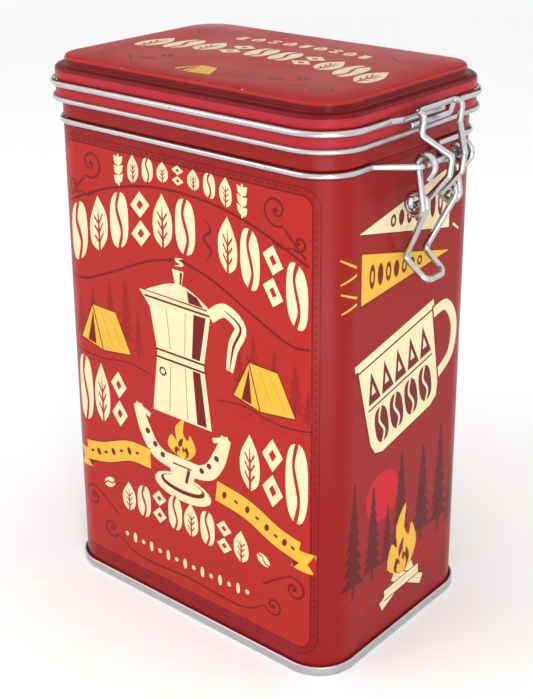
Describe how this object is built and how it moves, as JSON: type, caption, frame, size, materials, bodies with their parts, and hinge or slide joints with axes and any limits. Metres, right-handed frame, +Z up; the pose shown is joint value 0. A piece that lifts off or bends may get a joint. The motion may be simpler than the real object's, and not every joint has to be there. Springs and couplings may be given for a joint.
{
  "type": "coffee tin",
  "caption": "Tall rounded-box storage tin of printed tinplate with a hinged stepped lid, wire hoops and an over-centre wire clasp on one narrow side.",
  "frame": {"origin": "middle of the whole object's footprint, on the surface that the bottom rim stands on", "axes": "+Z up, -Y out of the wide front face, +X towards the clasp, -X towards the hinge"},
  "size_m": [0.1352, 0.0818, 0.175],
  "materials": {
    "printed_body": "satin lithographed print",
    "printed_lid": "satin lithographed print",
    "bare_tinplate": "dull bare tinplate",
    "steel_wire": "bright drawn wire",
    "gasket": "matte"
  },
  "bodies": {
    "tin": {"body_wall": "printed_body", "base_panel": "bare_tinplate", "body_hoop": "steel_wire"},
    "lid": {"lid_shell": "printed_lid", "lid_seal": "gasket", "lid_hoop": "steel_wire"},
    "lever": {"latch_lever": "steel_wire"},
    "link": {"latch_link": "steel_wire"}
  },
  "joints": [
    {"name": "lid_hinge", "type": "hinge", "parent": "tin", "child": "lid", "pos_m": [-0.06445, 0, 0.1555], "axis": [0, -1, 0], "range_deg": [0, 105]},
    {"name": "lever_pivot", "type": "hinge", "parent": "tin", "child": "lever", "pos_m": [0.06265, 0, 0.1555], "axis": [0, -1, 0], "range_deg": [0, 130]},
    {"name": "link_pivot", "type": "hinge", "parent": "lever", "child": "link", "pos_m": [0.05915, 0, 0.1435], "axis": [0, -1, 0], "range_deg": [-130, 0]}
  ],
  "couplings": [
    {"joint": "link_pivot", "follows": "lever_pivot", "ratio": -1}
  ]
}
